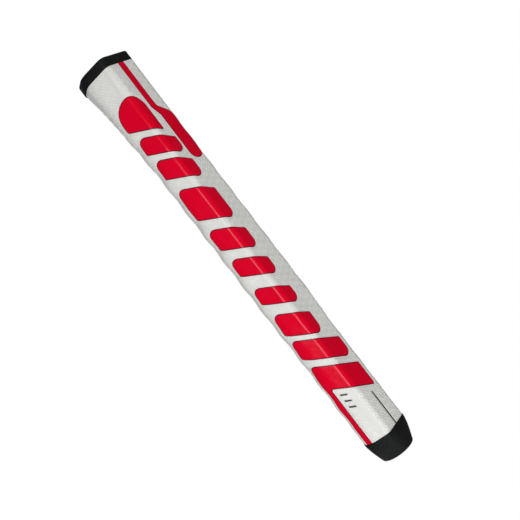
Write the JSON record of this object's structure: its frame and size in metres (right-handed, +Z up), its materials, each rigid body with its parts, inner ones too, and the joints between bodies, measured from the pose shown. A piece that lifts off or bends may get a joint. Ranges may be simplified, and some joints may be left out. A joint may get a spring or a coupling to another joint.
{
  "type": "golf putter grip",
  "caption": "Pistol-shaped putter grip: foam core in a felt-backed embossed skin sewn up the back, rubber end caps, flat thumb face, bright slanted printed bands.",
  "frame": {"origin": "centre of the shaft socket's mouth, in the nose's end face", "axes": "+Z up along the shaft's axis to the butt cap; the flat thumb face looks along -Y and the pistol flare swells to +Y; +X is to the right seen from the front"},
  "size_m": [0.0294, 0.0322, 0.2668],
  "materials": {
    "black_rubber": "matte moulded, fine pebble grain",
    "eva_foam": "closed-cell foam, matte",
    "backing_felt": "needled non-woven, matte",
    "white_polyurethane": "soft, embossed with a small diamond pattern, satin",
    "red_print": "smooth, glossy paint fill",
    "black_print": "smooth print",
    "seam_sealer": "satin bead",
    "sewing_thread": "twisted polyester thread"
  },
  "bodies": {
    "root": {"butt_cap": "black_rubber", "tip_cap": "black_rubber", "core_sleeve": "eva_foam", "felt_backing": "backing_felt", "pu_skin": "white_polyurethane", "seam_sealant": "seam_sealer", "seam_thread": "sewing_thread", "inlay_front_dart": "red_print", "inlay_lead_bar": "red_print", "inlay_bar_1": "red_print", "inlay_bar_2": "red_print", "inlay_bar_3": "red_print", "inlay_bar_4": "red_print", "inlay_bar_5": "red_print", "inlay_bar_6": "red_print", "inlay_bar_7": "red_print", "inlay_long_bar": "red_print", "inlay_tail_bar": "red_print", "inlay_sight_line": "black_print"}
  },
  "joints": []
}
